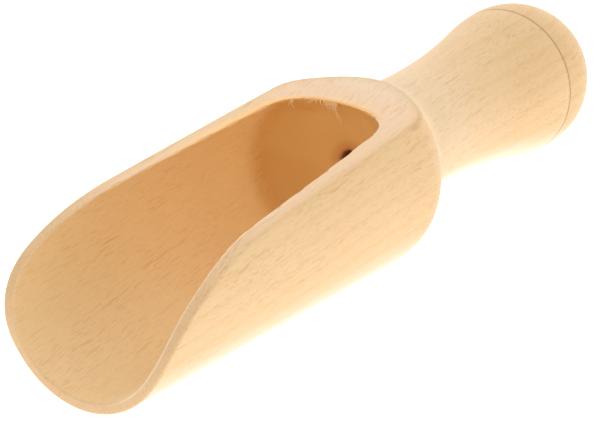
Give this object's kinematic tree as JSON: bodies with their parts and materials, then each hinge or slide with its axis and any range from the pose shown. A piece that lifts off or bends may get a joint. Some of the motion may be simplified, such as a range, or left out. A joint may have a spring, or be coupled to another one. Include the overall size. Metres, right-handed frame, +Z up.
{
  "type": "measuring scoop",
  "caption": "Turned wooden measuring scoop with a bored, open-topped cylindrical bowl, a sloping mouth, a waisted neck and a domed knob handle, for scooping and measuring dry goods.",
  "frame": {"origin": "middle of the bounding box at the level of the table that the scoop lies on", "axes": "+X along the scoop from the lip to the knob, +Z up with the mouth on top"},
  "size_m": [0.1312, 0.035, 0.0291],
  "materials": {
    "beech": "fine sanded, without lacquer"
  },
  "bodies": {
    "root": {"scoop": "beech"}
  },
  "joints": []
}
